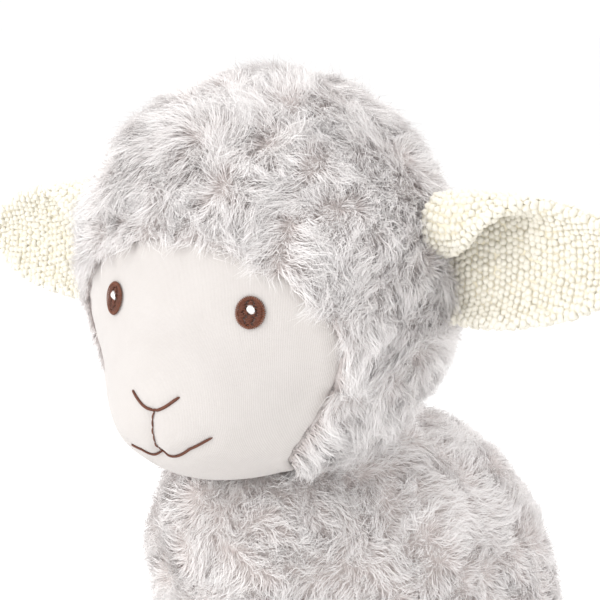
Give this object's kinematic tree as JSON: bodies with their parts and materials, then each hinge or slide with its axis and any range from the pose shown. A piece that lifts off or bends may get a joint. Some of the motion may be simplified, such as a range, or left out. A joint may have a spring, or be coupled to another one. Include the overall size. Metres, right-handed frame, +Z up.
{
  "type": "plush sheep",
  "caption": "Plush sheep lying on its belly: curly fur bags, jersey face, embroidered eyes and mouth, knitted ears, soft sewn legs and tail.",
  "frame": {"origin": "middle of the outline on the floor that the sheep lies on", "axes": "+Z up, the sheep looks along -Y, its left side is at +X"},
  "size_m": [0.3068, 0.3025, 0.3086],
  "materials": {
    "fur": "matte",
    "jersey": "matte",
    "knit": "matte",
    "brown_thread": "satin",
    "pale_thread": "satin",
    "filling": "matte"
  },
  "bodies": {
    "torso": {"body_fur": "fur", "body_filling": "filling", "closing_seam": "pale_thread"},
    "neck": {"neck_filling": "filling"},
    "head": {"head_fur": "fur", "head_filling": "filling", "face_panel": "jersey", "eye_left": "brown_thread", "eye_right": "brown_thread", "eye_glint_left": "pale_thread", "eye_glint_right": "pale_thread", "nose_stitch_left": "brown_thread", "nose_stitch_right": "brown_thread", "lip_line_stitch": "brown_thread", "mouth_stitch_left": "brown_thread", "mouth_stitch_right": "brown_thread"},
    "ear_left": {"ear_left_front": "knit", "ear_left_back": "knit"},
    "ear_right": {"ear_right_front": "knit", "ear_right_back": "knit"},
    "front_leg_left": {"front_leg_left_fur": "fur", "front_leg_left_foot": "knit", "front_leg_left_filling": "filling"},
    "front_leg_right": {"front_leg_right_fur": "fur", "front_leg_right_foot": "knit", "front_leg_right_filling": "filling"},
    "hind_leg_left": {"hind_leg_left_fur": "fur", "hind_leg_left_foot": "knit", "hind_leg_left_filling": "filling"},
    "hind_leg_right": {"hind_leg_right_fur": "fur", "hind_leg_right_foot": "knit", "hind_leg_right_filling": "filling"},
    "tail": {"tail_fur": "fur", "tail_filling": "filling"}
  },
  "joints": [
    {"name": "head_turn", "type": "hinge", "parent": "torso", "child": "neck", "pos_m": [0, -0.0221, 0.11756], "axis": [0, 0, 1], "range_deg": [-25, 25], "stiffness_Nm_per_rad": 0.8},
    {"name": "head_nod", "type": "hinge", "parent": "neck", "child": "head", "pos_m": [0, -0.0221, 0.11756], "axis": [1, 0, 0], "range_deg": [-10, 8], "stiffness_Nm_per_rad": 3},
    {"name": "ear_left_flap", "type": "hinge", "parent": "head", "child": "ear_left", "pos_m": [0.08143, -0.0381, 0.23306], "axis": [0, 0, 1], "range_deg": [-15, 30], "stiffness_Nm_per_rad": 0.02},
    {"name": "ear_right_flap", "type": "hinge", "parent": "head", "child": "ear_right", "pos_m": [-0.08143, -0.0381, 0.23306], "axis": [0, 0, 1], "range_deg": [-30, 15], "stiffness_Nm_per_rad": 0.02},
    {"name": "front_leg_left_swing", "type": "hinge", "parent": "torso", "child": "front_leg_left", "pos_m": [0.03436, -0.07104, 0.0265], "axis": [1, 0, 0], "range_deg": [-20, 20], "stiffness_Nm_per_rad": 0.3},
    {"name": "front_leg_right_swing", "type": "hinge", "parent": "torso", "child": "front_leg_right", "pos_m": [-0.03436, -0.07104, 0.0265], "axis": [1, 0, 0], "range_deg": [-20, 20], "stiffness_Nm_per_rad": 0.3},
    {"name": "hind_leg_left_swing", "type": "hinge", "parent": "torso", "child": "hind_leg_left", "pos_m": [0.07743, 0.00473, 0.0265], "axis": [1, 0, 0], "range_deg": [-20, 20], "stiffness_Nm_per_rad": 0.3},
    {"name": "hind_leg_right_swing", "type": "hinge", "parent": "torso", "child": "hind_leg_right", "pos_m": [-0.07743, 0.00473, 0.0265], "axis": [1, 0, 0], "range_deg": [-20, 20], "stiffness_Nm_per_rad": 0.3},
    {"name": "tail_lift", "type": "hinge", "parent": "torso", "child": "tail", "pos_m": [0, 0.12175, 0.09756], "axis": [1, 0, 0], "range_deg": [-6, 30], "stiffness_Nm_per_rad": 0.02}
  ]
}
